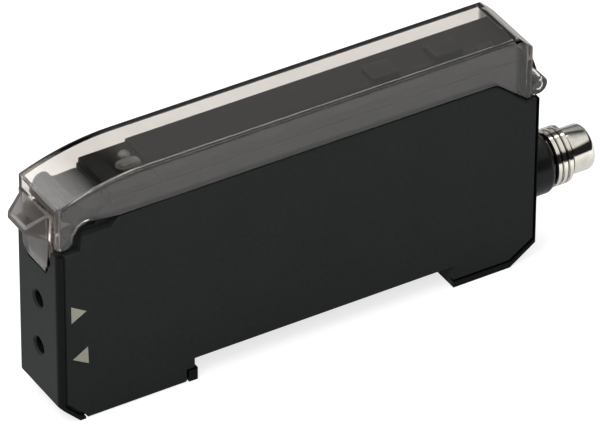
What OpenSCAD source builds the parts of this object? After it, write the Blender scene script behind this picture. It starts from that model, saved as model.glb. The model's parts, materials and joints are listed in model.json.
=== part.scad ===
// Slim rail-mounted sensor amplifier with a clear flip lid, two fibre ports and a round plug.
// Every piece is drawn from the front face (x = 0), the mid plane (y = 0) and the feet (z = 0),
// and then moved so that the origin is the middle of the base.

/* [Body] */
// Length of the housing from the front face to the back face
body_l = 71.5; // [68:0.5:80]
// Width of the housing across the side plates
body_w = 10.8; // [10.2:0.1:12]
// Drop from the lid's top to the shoulder that the lid closes down to
shoulder_drop = 6.2; // [5.9:0.1:6.5]
// Drop from the shoulder to the top of the front face
front_drop = 3.3; // [3:0.1:3.6]
// Drop from the shoulder to the top of the back face
back_drop = 3.9; // [3.6:0.1:4.2]
// Radius of the shoulder's rear corner
shoulder_r = 2; // [1:0.1:3]
// Thickness of the housing walls
wall = 1.2; // [0.9:0.1:1.4]
// Thickness of the front wall that the fibre ports pass through
front_wall = 2.2; // [1.8:0.1:2.4]
// Thickness of the back wall that carries the plug
back_wall = 1.4; // [1.1:0.1:1.8]
// Chamfer under the front face
front_chamfer = 2.9; // [2:0.1:3.4]
// Length of the chamfer under the back face
rear_chamfer_l = 3.9; // [3:0.1:4.5]
// Height of the chamfer under the back face
rear_chamfer_h = 2.75; // [2:0.05:3.2]
// Radius of the upright edges of the front face
front_edge_r = 0.8; // [0.4:0.1:1.2]

/* [Side cover] */
// Thickness of the side cover
cover_t = 0.9; // [0.7:0.05:1.1]
// Gap of the seam around the side cover
seam = 0.2; // [0.1:0.01:0.25]
// Distance of the front seam from the front face
seam_x = 1.05; // [0.8:0.05:1.3]
// Chamfer on the outer edges of the side cover
cover_edge = 0.22; // [0.1:0.01:0.3]

/* [Rail slot] */
// Length of the rear foot behind the rail slot
rear_foot_l = 12.6; // [11.8:0.1:14]
// Width of the rail slot
slot_w = 39; // [38.5:0.1:40]
// Depth of the rail slot
slot_h = 3.3; // [3.2:0.1:3.8]
// Height of the front hook
hook_h = 1.9; // [1.6:0.1:2]
// Length of the front hook's block
hook_l = 1.2; // [0.9:0.1:1.6]
// Reach of the front hook under the rail
hook_reach = 0.3; // [0.2:0.05:0.5]

/* [Lid] */
// Height of the lid's flat top above the feet
lid_top_z = 36; // [34:0.1:38]
// Wall thickness of the lid
lid_wall = 0.8; // [0.6:0.05:0.9]
// How far the lid's side walls stand in from the housing's sides
lid_inset = 0.15; // [0.1:0.05:0.3]
// Gap between the lid's lower edge and the shoulder
lid_gap = 0.3; // [0.2:0.05:0.5]
// Distance from the front face to the lid's front wall
lid_front = 0.15; // [0.1:0.05:0.4]
// Distance from the back face to the lid's rear wall
lid_rear = 0.8; // [0.7:0.1:1.2]
// Length of the arched stretch at the front of the lid
arch_l = 13.3; // [10:0.1:16]
// Drop of the lid's top along the arched stretch
arch_drop = 2.6; // [2:0.05:2.8]
// Radius of the lid's long top edges
lid_edge_r = 0.75; // [0.3:0.05:1]
// Open angle of the lid, drawn closed
lid_open = 0; // [0:5:110]

/* [Finger scoop] */
// Reach of the finger scoop in front of the front face
beak_reach = 2.95; // [2.4:0.05:3.5]
// Width of the scoop at its root
beak_root_w = 6.8; // [6:0.1:7.6]
// Width of the scoop at its tip
beak_tip_w = 4.6; // [3:0.1:5]
// Wall of the scoop
beak_wall = 0.5; // [0.4:0.05:0.7]
// How far the latch plate stands out of the front face
plate_proud = 0.3; // [0.2:0.05:0.5]
// Width of the latch plate at its top
plate_w = 7.9; // [7.4:0.1:8.2]
// Width of the latch tongue above its cut corners
tongue_w = 6.2; // [5.4:0.1:6.8]
// Width of the latch tongue at its lower end
tongue_end_w = 4.1; // [3.6:0.1:5]
// Drop from the lid's top to the tongue's lower end
tongue_drop = 13.4; // [12.6:0.1:14]

/* [Hinge] */
// Radius of the hinge knuckles
knuckle_r = 1.35; // [1.2:0.05:1.4]
// Radius of the hinge pin
hinge_pin_r = 0.6; // [0.5:0.05:0.7]
// Rise of the hinge pin above the back face
hinge_rise = 1.75; // [1.7:0.05:1.9]
// Distance of the hinge pin from the back face
hinge_x_in = 0; // [0:0.05:0.2]
// Rise of the frame's ear above the hinge pin
ear_rise = 3.1; // [2.4:0.1:3.2]
// Width of the frame's lug between the knuckles
lug_w = 4.8; // [4:0.1:5.2]
// Running clearance of pins in their bores
run_gap = 0.05; // [0.03:0.01:0.08]

/* [Fibre ports] */
// Radius of the fibre bores
port_r = 1.15; // [1.05:0.05:1.25]
// Height of the upper fibre port
port_top_z = 16.95; // [16:0.05:18]
// Height of the lower fibre port
port_low_z = 9.6; // [8.8:0.05:10]
// Sideways place of the ports
port_y = 0; // [-0.2:0.1:0.4]
// Chamfer at the mouth of the ports
port_chamfer = 0.3; // [0.2:0.05:0.4]

/* [Fibre clamp] */
// Drop from the lid's top to the clamp lever's ribbed pad
pad_drop = 3; // [2.9:0.05:3.2]
// Radius of the ribbed pad
pad_r = 1.3; // [1.1:0.05:1.5]
// Distance from the front face to the middle of the pad
pad_x = 3; // [2.9:0.05:3.2]
// Distance from the front face to the lever's axle
lever_x = 7; // [6.8:0.05:7.1]
// Rise of the lever's axle above the shoulder
lever_rise = 0.6; // [0.5:0.05:0.7]
// Radius of the lever's axle
lever_pin_r = 0.6; // [0.5:0.05:0.7]
// Width of the lever's top
lever_w = 7.6; // [6.6:0.1:7.8]
// Thickness of the gripper slide
grip_t = 1.2; // [1:0.05:1.4]
// Width of the gripper slide
grip_w = 4.4; // [4:0.1:4.6]
// Radius of the windows in the gripper slide
grip_window_r = 1.5; // [1.4:0.05:1.6]

/* [Control deck] */
// Drop from the lid's top to the control deck
deck_drop = 2.45; // [2.2:0.05:2.6]
// Drop from the lid's top to the lower step at the front of the deck
deck_step_drop = 2.85; // [2.7:0.05:3]
// Distance from the front face to the deck's front edge
deck_x = 8.4; // [8.2:0.05:8.8]
// Distance from the front face to the deck's step
deck_step_x = 15.1; // [14.6:0.1:16]
// Thickness of the deck's top
deck_t = 0.8; // [0.7:0.05:0.9]
// Length of the two keys along the housing
key_l = 4; // [3:0.1:4.6]
// Width of the two keys
key_w = 3.2; // [2.6:0.1:3.6]
// Drop from the lid's top to the key tops
key_drop = 1.6; // [1.5:0.05:1.8]
// Travel of the keys
key_travel = 0.3; // [0.2:0.05:0.35]
// Distance of the set key from the back face
set_back = 21; // [20.5:0.5:25]
// Distance of the mode key from the back face
mode_back = 11.5; // [11:0.5:12]
// Length of the large lamp lens
output_lens_l = 3.4; // [2.6:0.1:3.6]
// Width of the large lamp lens
output_lens_w = 2; // [1.6:0.1:2]
// Radius of the small lamp dome
power_lens_r = 0.8; // [0.6:0.05:0.85]

/* [Plug] */
// Height of the plug's axis
plug_z = 11.2; // [10.5:0.05:13]
// Radius of the black boss
boss_r = 4.38; // [4.2:0.02:4.8]
// Length of the black boss
boss_l = 3.9; // [3.4:0.1:5]
// Radius over the plug's thread
thread_r = 3.95; // [3.9:0.01:4]
// Length of the threaded stretch
thread_l = 3.1; // [2:0.05:4]
// Radius of the smooth sleeve
sleeve_r = 3.2; // [3.1:0.02:3.4]
// Length of the smooth sleeve
sleeve_l = 3.4; // [2.5:0.05:5]
// Radius of the opening in the sleeve
socket_r = 2.7; // [2.5:0.02:2.8]
// Radius of the contact pins
contact_r = 0.5; // [0.4:0.05:0.55]

/* [Rail latch] */
// Reach of the sprung latch into the slot
latch_reach = 4.7; // [4.2:0.1:5]
// Width of the latch
latch_w = 2.6; // [2.2:0.1:2.8]
// Travel of the latch
latch_travel = 1.6; // [1.2:0.1:1.8]

/* [Hidden] */
$fn = 48;

// Colours
body_black = [0.16, 0.17, 0.17];
deep_black = [0.06, 0.06, 0.065];
smoke = [0.45, 0.43, 0.42, 0.45];
steel = [0.62, 0.62, 0.63];
nickel = [0.78, 0.76, 0.72];
gold = [0.83, 0.67, 0.32];
board_green = [0.10, 0.32, 0.18];
pale_lens = [0.85, 0.85, 0.82];

// General allowances
eps = 0.01;
slip = 0.1;
seat = 0.02;
move_gap = 0.2;

// Heights that follow the lid's top
shoulder_z = lid_top_z - shoulder_drop;
front_z = shoulder_z - front_drop;
back_z = shoulder_z - back_drop;
hinge_z = back_z + hinge_rise;
tongue_z = lid_top_z - tongue_drop;
pad_top_z = lid_top_z - pad_drop;
lever_z = shoulder_z + lever_rise;
deck_z = lid_top_z - deck_drop;
deck_step_z = lid_top_z - deck_step_drop;
key_z = lid_top_z - key_drop;

// Overall placing
half_w = body_w / 2;
groove_l = 0.25;
boss_floor = 0.8;
plug_reach = boss_l + groove_l + thread_l + sleeve_l;
x_shift = (beak_reach - body_l - plug_reach) / 2;

// Feet, slot and sides
slot_end = body_l - rear_foot_l;
slot_start = slot_end - slot_w;
hook_tip = slot_start + hook_reach;
hook_root = slot_start - hook_l;
slot_roof = slot_h + wall;
foot_floor = 1.5;
spring_floor = 2.9;
spring_shelf = 6.2;
cover_lift = 1.1;
rear_rim = 0.3;
inner_y = half_w - wall;
cover_y = cover_t - half_w;

// Shoulder outline: front step, clamp bay and rear ramp
step_x = 3.6;
step_z = shoulder_z - 1.2;
bay_x = 9;
ramp_start = body_l - 6.5;
ramp_end = body_l - 1.9;
ramp_a = atan(back_drop / (ramp_end - ramp_start));
corner_x = ramp_start - shoulder_r * tan(ramp_a / 2);
corner_z = shoulder_z - shoulder_r;

// Head that stands up under the lid
lid_half_w = half_w - lid_inset;
lid_inner_y = lid_half_w - lid_wall;
head_y = lid_inner_y - move_gap;
head_wall = 1;
head_inner_y = head_y - head_wall;
head_top = deck_step_z - deck_t - 0.15;
head_x = deck_x - 0.1;
head_end = body_l - 3;

// Lid
lid_edge_z = shoulder_z + lid_gap;
lid_back = body_l - lid_rear;
lid_inner_front = lid_front + lid_wall;
lid_inner_back = lid_back - lid_wall;
arch_end = lid_front + arch_l;
arch_r = (arch_l * arch_l + arch_drop * arch_drop) / (2 * arch_drop);
lid_leg_z = front_z + 1;
lid_foot_z = back_z + 0.4;
bevel_l = 2.3;
bevel_h = 2.15;
scallop_r = 2.45;
scallop_x = 4.7;
scallop_z = lid_edge_z + 0.55 - scallop_r;
hinge_x = body_l - hinge_x_in;
ear_in = 0.9;
ear_out = 0.5;

// Finger scoop and tongue
plate_back = lid_front + eps;
beak_top_z = lid_top_z - 4;
beak_low_z = lid_leg_z + 0.9;
tip_top_z = beak_top_z - 1.9;
tip_low_z = tip_top_z - 0.55;
tongue_t = 0.8;
pocket_gap = 0.25;
tongue_cut = 1.6;

// Clamp
port_zs = [port_low_z, port_top_z];
cheek_inner_y = 2.6;
cheek_r = 0.85;
axle_y = head_y - 0.6;
bay_floor_z = front_z - 0.7;
bay_floor_t = 0.9;
grip_x = front_wall + 0.9;
grip_rest = port_r - 0.05;
grip_lift = grip_window_r - grip_rest;
grip_low_z = 6.4;
nub_r = 0.5;
nub_z = pad_top_z - pad_r - 0.9;
grip_top_z = nub_z - nub_r - 0.15;
grip_spring_r = 1;
spring_wire_r = 0.2;

// Optics
block_x = grip_x + grip_t + 0.7;
block_end = block_x + 8;
seat_x = block_x + 3.4;
led_r = 1.5;
led_end = block_end + 0.9;
lead_l = 4;
lead_end = led_end + lead_l;
lead_r = 0.25;
lead_pitch = 1.27;
block_edge = led_r + 1.9;
block_near = led_r + 0.9;
block_lip = 2;
block_recess = 0.6;

// Boards
board_t = 0.8;
board_y = port_y + lead_r;
board_x = led_end + 1.7;
board_end = body_l - 7.5;
board_low_z = slot_roof + 0.5;
board_top_z = shoulder_z - 2.3;
post_r = 1.3;
peg_r = 0.6;
post_xs = [board_x + 6, board_end - 6];
post_zs = [board_low_z + 3.5, board_top_z - 3.5];
ledge_z = shoulder_z - 0.2;
key_board_top = ledge_z + board_t;
key_board_y = head_inner_y - 0.15;
ledge_l = 2;
ledge_in = 3.6;
ledge_xs = [deck_x + ledge_in, (deck_x + head_end) / 2, head_end - ledge_in - ledge_l];
header_l = 8;
header_t = 2.2;
header_lap = 2;
chip_gap = 2;
chip_t = 1.2;
controller_l = 7;
driver_l = 5;
driver_w = 4;
capacitor_r = 1.8;
capacitor_t = 2.2;

// Deck pieces
deck_y = head_y - 0.25;
deck_seat_end = head_end - 0.1;
deck_end = lid_inner_back - 0.7;
deck_rim = 0.8;
flange = 0.4;
flange_t = 0.5;
key_y = -0.1;
set_x = body_l - set_back;
mode_x = body_l - mode_back;
switch_top = deck_z - deck_t - slip - flange_t - key_travel - 0.05;
switch_body_t = 0.8;
window_l = 2.4;
window_w = 1;
window_y = -1.6;
window_off = 5.3;
output_lens_at = [deck_x + 4.6, -0.55];
power_lens_at = [deck_x + 5.2, 1.45];
lens_lip = 0.05;
chip = 0.6;

// Plug
groove_r = thread_r - 0.65;
seal_r = thread_r - 0.4;
boss_end = body_l + boss_l;
thread_start = boss_end + groove_l;
sleeve_start = thread_start + thread_l;
plug_end = sleeve_start + sleeve_l;
spigot_l = 2.2;
spigot_r = groove_r;
neck_bore_r = 2.2;
neck_r = neck_bore_r + 0.45;
nut_t = 1.4;
nut_r = (neck_r + 0.5) / cos(30);
neck_start = body_l - back_wall - nut_t - 0.4;
carrier_end = thread_start + 1.1;
carrier_start = neck_start - 0.7;
contact_ring = 1.5;
contact_tip = plug_end - 1.2;
contact_tail = carrier_start - 1.1;

// Rail latch
latch_y = 0.1;
latch_low_z = 0.55;
latch_top_z = slot_h - 1.1;
latch_wing = 0.5;
latch_wing_l = 1.6;
latch_body_l = 4.1;
latch_end = slot_end + latch_body_l;
channel_gap = 0.15;
channel_end = slot_end + 8.5;
channel_step = latch_end - latch_wing_l - channel_gap;
latch_mid_z = (latch_low_z + latch_top_z) / 2;
latch_spring_r = 0.6;
latch_wire_r = 0.15;

// Drawing helpers: an outline in x and z across the width, in x and y upwards, in y and z along the length
module side(y0, y1) { translate([0, y1, 0]) rotate([90, 0, 0]) linear_extrude(y1 - y0) children(); }
module plan(z0, z1) { translate([0, 0, z0]) linear_extrude(z1 - z0) children(); }
module along(x0, x1) { translate([x0, 0, 0]) rotate([90, 0, 90]) linear_extrude(x1 - x0) children(); }
module box(x0, x1, y0, y1, z0, z1) { translate([x0, y0, z0]) cube([x1 - x0, y1 - y0, z1 - z0]); }
module rod_x(x0, x1, y, z, r) { translate([x0, y, z]) rotate([0, 90, 0]) cylinder(h = x1 - x0, r = r); }
module rod_y(y0, y1, x, z, r) { translate([x, y1, z]) rotate([90, 0, 0]) cylinder(h = y1 - y0, r = r); }
module placed() { translate([x_shift, 0, 0]) children(); }

// A coil of round wire along +Z from z = 0, drawn as one closed skin
module coil(height, r, wire_r, turns) {
    sides = 8;
    rings = turns * 16;
    rise = (height - 2 * wire_r) / rings;
    points = [
        for (i = [0 : rings]) let (a = 360 * turns * i / rings)
            for (j = [0 : sides - 1]) let (b = 360 * j / sides)
                [
                    (r + wire_r * cos(b)) * cos(a),
                    (r + wire_r * cos(b)) * sin(a),
                    wire_r + rise * i + wire_r * sin(b)
                ]
    ];
    skin = [
        for (i = [0 : rings - 1]) for (j = [0 : sides - 1]) let (k = (j + 1) % sides)
            [i * sides + j, (i + 1) * sides + j, (i + 1) * sides + k, i * sides + k]
    ];
    ends = [
        [for (j = [0 : sides - 1]) j],
        [for (j = [sides - 1 : -1 : 0]) rings * sides + j]
    ];
    polyhedron(points, concat(skin, ends), convexity = 8);
}

// Rounded rear corner of the shoulder, from the ramp to the level stretch, grown by g
function shoulder_corner(g) = [
    for (i = [0 : 4]) let (a = 90 - ramp_a * (1 - i / 4))
        [corner_x + (shoulder_r + g) * cos(a), corner_z + (shoulder_r + g) * sin(a)]
];

// Housing outline seen from the side, up to the shoulder
function body_outline() = concat(
    [
        [0, front_chamfer], [front_chamfer, 0], [hook_tip, 0], [hook_tip, hook_h], [slot_start, hook_h],
        [slot_start, slot_h], [slot_end, slot_h], [slot_end, 0], [body_l - rear_chamfer_l, 0],
        [body_l, rear_chamfer_h], [body_l, back_z], [ramp_end, back_z]
    ],
    shoulder_corner(0),
    [[bay_x, shoulder_z], [bay_x - 1.1, step_z], [step_x, step_z], [step_x - 0.3, front_z], [0, front_z]]
);

// Side cover outline, grown by g all round
function cover_outline(g) = concat(
    [
        [seam_x - g, front_chamfer + 0.1 - g], [front_chamfer - g, cover_lift - g],
        [front_chamfer + 1 - g, cover_lift - 0.5 - g], [front_chamfer + 1.1 - g, -g],
        [hook_root + g, -g], [hook_root + g, hook_h - g], [slot_start + g, hook_h - g],
        [slot_start + g, slot_h - g], [slot_end - g, slot_h - g], [slot_end - g, cover_lift - g],
        [body_l - rear_chamfer_l + g, cover_lift - g], [body_l - rear_rim + g, rear_chamfer_h + 0.7 - g],
        [body_l - rear_rim + g, back_z + g], [ramp_end + g / 2, back_z + g]
    ],
    shoulder_corner(g),
    [
        [bay_x - g / 2, shoulder_z + g], [bay_x - 1.1 - g / 2, step_z + g], [step_x - g, step_z + g],
        [step_x - 0.3 - g, front_z + g], [seam_x - g, front_z + g]
    ]
);

// Space inside the tub seen from the side
function cavity_outline() = [
    [front_wall, spring_floor], [spring_shelf, spring_floor], [spring_shelf, foot_floor],
    [slot_start - wall, foot_floor], [slot_start - wall, slot_roof], [body_l - back_wall, slot_roof],
    [body_l - back_wall, back_z - wall], [ramp_end - wall, back_z - wall], [ramp_start - wall, step_z],
    [head_x + wall, step_z], [head_x + wall, bay_floor_z - bay_floor_t],
    [front_wall, bay_floor_z - bay_floor_t]
];

// Plan of the housing with rounded front edges
module body_plan(r) {
    union() {
        translate([r, -half_w]) square([body_l - r, body_w]);
        translate([0, r - half_w]) square([body_l, body_w - 2 * r]);
        for (s = [-1, 1]) translate([r, s * (half_w - r)]) circle(r);
    }
}

// Tapered outline of the latch tongue seen from the front
module tongue_outline(g) {
    polygon([
        [-plate_w / 2 - g, beak_top_z], [-tongue_w / 2 - g, tongue_z + tongue_cut],
        [-tongue_end_w / 2 - g, tongue_z - g], [tongue_end_w / 2 + g, tongue_z - g],
        [tongue_w / 2 + g, tongue_z + tongue_cut], [plate_w / 2 + g, beak_top_z]
    ]);
}

// Moulded tub: far wall, front, feet, back wall, and the head that the deck sits on
module frame() {
    color(body_black) difference() {
        union() {
            intersection() {
                side(-half_w, half_w) polygon(body_outline());
                plan(-eps, shoulder_z + eps) body_plan(front_edge_r);
            }
            frame_head();
            frame_bay();
            frame_lug();
        }
        // Seat of the side cover
        side(-half_w - eps, cover_y) polygon(cover_outline(seam));
        // Inside of the tub, open to the side cover
        difference() {
            side(cover_y - eps, inner_y) polygon(cavity_outline());
            board_posts();
            frame_head();
        }
        // Inside of the head, open to the deck
        box(head_x + wall, head_end - wall, -head_inner_y, head_inner_y, step_z - eps, head_top + eps);
        // Fibre ports
        for (z = port_zs) {
            rod_x(-eps, front_wall + eps, port_y, z, port_r);
            translate([-eps, port_y, z]) rotate([0, 90, 0])
                cylinder(h = port_chamfer + eps, r1 = port_r + port_chamfer, r2 = port_r);
        }
        // Pocket of the latch tongue
        along(-1, tongue_t - plate_proud + pocket_gap) tongue_outline(pocket_gap);
        // Clamp bay between the cheeks, and the slot for the gripper slide in its floor
        box(front_wall, head_x, -cheek_inner_y, cheek_inner_y, bay_floor_z, shoulder_z + 1);
        box(grip_x - move_gap, grip_x + grip_t + move_gap, port_y - grip_w / 2 - move_gap,
            port_y + grip_w / 2 + move_gap, bay_floor_z - bay_floor_t - eps, bay_floor_z + eps);
        // Axle, hinge and plug bores
        rod_y(-axle_y - seat, axle_y + seat, lever_x, lever_z, lever_pin_r + seat);
        rod_y(-half_w, half_w, hinge_x, hinge_z, hinge_pin_r + seat);
        rod_x(body_l - back_wall - eps, body_l + eps, 0, plug_z, neck_r + run_gap);
        latch_channel();
    }
    color(body_black) board_ledges();
}

// Walls of the head under the lid
module frame_head() {
    difference() {
        side(-head_y, head_y) polygon([
            [head_x, step_z - eps], [head_x, head_top], [deck_end, head_top], [deck_end, hinge_z + 2.6],
            [head_end, hinge_z + 1.6], [head_end, back_z - eps],
            [head_end - wall, back_z - wall], [ramp_start - wall, step_z - eps]
        ]);
        box(head_x + wall, head_end - wall, -head_inner_y, head_inner_y, back_z - 2 * wall, head_top + eps);
    }
}

// Clamp bay: a floor over the optics, two low side walls and the two cheeks that hold the lever's axle
module frame_bay() {
    box(front_wall - eps, head_x + eps, -head_y, head_y, bay_floor_z - bay_floor_t, bay_floor_z);
    for (s = [-1, 1]) scale([1, s, 1]) {
        box(lid_inner_front + move_gap, head_x + eps, cheek_inner_y, head_y,
            bay_floor_z - eps, lid_edge_z - 0.9);
        side(cheek_inner_y, head_y) union() {
            translate([lever_x, lever_z]) circle(cheek_r);
            polygon([
                [lever_x - cheek_r, bay_floor_z], [lever_x - cheek_r, lever_z], [lever_x, lever_z + cheek_r],
                [head_x + eps, lever_z + cheek_r], [head_x + eps, bay_floor_z]
            ]);
        }
    }
}

// Lug on the back wall that the hinge pin sits in, with an ear that stands up behind the lid
module frame_lug() {
    side(-lug_w / 2, lug_w / 2) union() {
        translate([hinge_x, hinge_z]) circle(knuckle_r);
        polygon([
            [hinge_x - knuckle_r, hinge_z], [hinge_x - knuckle_r, back_z - eps],
            [body_l - eps, back_z - wall], [body_l, back_z], [hinge_x + knuckle_r, hinge_z]
        ]);
        polygon([
            [hinge_x - ear_in, hinge_z], [hinge_x - ear_in, hinge_z + ear_rise],
            [hinge_x + ear_out, hinge_z + ear_rise], [hinge_x + knuckle_r, hinge_z + knuckle_r / 2],
            [hinge_x + knuckle_r, hinge_z]
        ]);
    }
}

// Posts and pegs of the main board
module board_posts() {
    for (x = post_xs, z = post_zs) {
        rod_y(board_y + board_t, inner_y + eps, x, z, post_r);
        rod_y(board_y - 0.4, inner_y + eps, x, z, peg_r);
    }
}

// Ledges inside the head that the key board rests on
module board_ledges() {
    for (x = ledge_xs, s = [-1, 1]) scale([1, s, 1])
        box(x, x + ledge_l, head_inner_y - 0.6, head_inner_y + eps, step_z, ledge_z);
}

// Channel of the rail latch and its spring in the rear foot
module latch_channel() {
    w = latch_w / 2 + channel_gap;
    z0 = latch_low_z - channel_gap;
    z1 = latch_top_z + channel_gap;
    box(slot_end - eps, channel_step + eps, latch_y - w, latch_y + w, z0, z1);
    box(channel_step, channel_end, latch_y - w - latch_wing, latch_y + w + latch_wing, z0, z1);
}

// Flat plate that closes the tub, with chamfered outer edges and a rib that locates it inside the walls
module side_cover() {
    rib_t = 0.7;
    rib_h = 0.8;
    rib_x0 = slot_start + 2;
    rib_x1 = ramp_start - 4;
    color(body_black) {
        minkowski() {
            side(cover_y - cover_t + cover_edge, cover_y) polygon(cover_outline(-cover_edge));
            rotate([90, 0, 0]) cylinder(h = cover_edge, r1 = cover_edge, r2 = eps, $fn = 16);
        }
        for (z = [slot_roof + slip, step_z - slip - rib_t])
            box(rib_x0, rib_x1, cover_y - eps, cover_y + rib_h, z, z + rib_t);
    }
}

// Block with the lid's rounded top, arched at the front; inset moves every face inwards
module lid_envelope(inset) {
    w = lid_half_w - inset;
    r = max(lid_edge_r - inset, 0.1);
    centre_z = lid_top_z - arch_r;
    low = arch_r - 16;
    intersection() {
        union() {
            along(arch_end, lid_back - inset) lid_section(w, lid_top_z - inset, r, 16);
            translate([arch_end, 0, centre_z]) rotate([90, 0, 0]) rotate([0, 0, 90])
                rotate_extrude(angle = 40, $fn = 180) polygon_from_section(w, arch_r - inset, r, low);
        }
        plan(0, lid_top_z + 1) lid_plan(inset);
    }
}

// Round-topped section in y and z
module lid_section(w, top, r, depth) {
    union() {
        translate([-w, top - depth]) square([2 * w, depth - r]);
        translate([-w + r, top - depth]) square([2 * w - 2 * r, depth]);
        for (s = [-1, 1]) translate([s * (w - r), top - r]) circle(r);
    }
}

// The same section turned so that its height is a radius
module polygon_from_section(w, top, r, low) {
    rotate([0, 0, -90]) lid_section(w, top, r, top - low);
}

// Plan of the lid with rounded corners
module lid_plan(inset) {
    r = max(front_edge_r - inset, 0.2);
    x0 = lid_front + inset;
    x1 = lid_back - inset;
    w = lid_half_w - inset;
    union() {
        translate([x0 + r, -w]) square([x1 - x0 - 2 * r, 2 * w]);
        translate([x0, -w + r]) square([x1 - x0, 2 * w - 2 * r]);
        for (x = [x0 + r, x1 - r], s = [-1, 1]) translate([x, s * (w - r)]) circle(r);
    }
}

// Side outline of the lid: front leg, scallop, straight lower edge, rear foot and bevelled back
module lid_outline() {
    difference() {
        polygon(concat(
            [
                [lid_front, lid_leg_z], [lid_front, lid_top_z + 1], [lid_back - bevel_l, lid_top_z + 1],
                [lid_back - bevel_l, lid_top_z], [lid_back, lid_top_z - bevel_h], [lid_back, lid_foot_z],
                [ramp_end + 0.2, lid_foot_z]
            ],
            shoulder_corner(lid_gap),
            [
                [bay_x, lid_edge_z], [scallop_x, scallop_z + scallop_r], [scallop_x, scallop_z],
                [scallop_x - scallop_r, scallop_z], [scallop_x - scallop_r - 0.65, lid_leg_z]
            ]
        ));
        translate([scallop_x, scallop_z]) circle(scallop_r);
    }
}

// Finger scoop: a wedge-shaped tray in front of the latch plate
module beak() {
    root = -plate_proud;
    w0 = beak_root_w / 2;
    w1 = beak_tip_w / 2;
    tip = -beak_reach;
    intersection() {
        plan(tongue_z, lid_top_z) polygon([
            [root, -w0], [root, w0], [tip + 0.3, w1 + 0.1],
            [tip, w1 - 0.3], [tip, 0.3 - w1], [tip + 0.3, -w1 - 0.1]
        ]);
        side(-half_w, half_w) polygon([
            [root, beak_low_z], [root, beak_top_z], [tip, tip_top_z], [tip, tip_low_z]
        ]);
    }
}

// Clear flip lid: arched shell, latch plate with tongue and scoop, and two rear knuckles
module lid() {
    color(smoke) translate([hinge_x, 0, hinge_z]) rotate([0, lid_open, 0]) translate([-hinge_x, 0, -hinge_z])
    difference() {
        union() {
            difference() {
                intersection() {
                    lid_envelope(0);
                    side(-half_w, half_w) lid_outline();
                }
                intersection() {
                    lid_envelope(lid_wall);
                    side(-half_w, half_w) polygon([
                        [lid_inner_front, 0], [lid_inner_front, lid_top_z],
                        [lid_inner_back - bevel_l, lid_top_z],
                        [lid_inner_back - bevel_l + 0.3, lid_top_z - lid_wall],
                        [lid_inner_back, lid_top_z - bevel_h - 0.5], [lid_inner_back, 0]
                    ]);
                }
            }
            latch_plate();
            difference() {
                beak();
                beak_hollow();
            }
            for (s = [-1, 1]) scale([1, s, 1]) lid_knuckle();
        }
        // Room for the frame's lug in the rear wall
        box(lid_inner_back - 1, hinge_x + 2 * knuckle_r, -lug_w / 2 - move_gap, lug_w / 2 + move_gap,
            back_z - 1, hinge_z + ear_rise + 0.4);
        rod_y(-half_w, half_w, hinge_x, hinge_z, hinge_pin_r + run_gap);
    }
}

// Plate in front of the lid's front wall that runs down into the latch tongue
module latch_plate() {
    difference() {
        along(-plate_proud, tongue_t - plate_proud) tongue_outline(0);
        // Chamfer on the tongue's lower edge
        side(-half_w, half_w) polygon([
            [-plate_proud - eps, tongue_z - eps], [-plate_proud - eps, tongue_z + 1.2],
            [-plate_proud + 0.35, tongue_z - eps]
        ]);
    }
}

// Space inside the finger scoop
module beak_hollow() {
    w0 = beak_root_w / 2 - beak_wall;
    w1 = beak_tip_w / 2 - beak_wall;
    tip = beak_wall - beak_reach;
    intersection() {
        plan(tongue_z, lid_top_z) polygon([
            [-plate_proud, -w0], [-plate_proud, w0], [tip, w1], [tip, -w1]
        ]);
        side(-half_w, half_w) polygon([
            [-plate_proud, beak_low_z + beak_wall], [-plate_proud, lid_top_z], [-beak_reach, lid_top_z],
            [-beak_reach, tip_low_z + beak_wall / 2]
        ]);
    }
}

// One hinge knuckle and its web to the rear wall
module lid_knuckle() {
    side(lug_w / 2 + move_gap, lid_half_w - 0.25) union() {
        translate([hinge_x, hinge_z]) circle(knuckle_r);
        polygon([
            [lid_back - lid_wall / 2, lid_foot_z], [hinge_x, hinge_z - knuckle_r],
            [hinge_x, hinge_z + knuckle_r],
            [lid_back - lid_wall / 2, hinge_z + knuckle_r + 1]
        ]);
    }
}

// Steel pin through the lug and both knuckles
module hinge_pin() {
    color(steel) rod_y(-lid_half_w + 0.35, lid_half_w - 0.35, hinge_x, hinge_z, hinge_pin_r);
}

// Control deck: a stepped cap on the head with openings for keys, windows and lamp domes
module deck() {
    color(deep_black) difference() {
        side(-deck_y, deck_y) polygon([
            [deck_x, head_top], [deck_x, deck_step_z], [deck_step_x, deck_step_z], [deck_step_x, deck_z],
            [deck_end, deck_z], [deck_end, head_top]
        ]);
        side(deck_rim - deck_y, deck_y - deck_rim) polygon([
            [deck_x + deck_rim, head_top - eps], [deck_x + deck_rim, deck_step_z - deck_t],
            [deck_step_x, deck_step_z - deck_t], [deck_step_x + 0.4, deck_z - deck_t],
            [deck_seat_end - deck_rim, deck_z - deck_t], [deck_seat_end - deck_rim, head_top - eps]
        ]);
        for (x = [set_x, mode_x]) {
            deck_hole(x, key_y, key_l + 2 * slip, key_w + 2 * slip);
            deck_hole(x + window_off, window_y, window_l + 2 * slip, window_w + 2 * slip);
        }
        lens_hole(output_lens_at) bar_plan(output_lens_l + slip, output_lens_w + slip);
        lens_hole(power_lens_at) circle(power_lens_r + slip / 2);
    }
}

module deck_hole(x, y, l, w) { box(x - l / 2, x + l / 2, y - w / 2, y + w / 2, head_top, deck_z + eps); }
module lens_hole(at) { translate([at[0], at[1], head_top]) linear_extrude(deck_z - head_top) children(); }

// Bar with round ends, lying along the housing
module bar_plan(l, w) {
    union() {
        translate([(w - l) / 2, -w / 2]) square([l - w, w]);
        for (s = [-1, 1]) translate([s * (l - w) / 2, 0]) circle(w / 2);
    }
}

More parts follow.
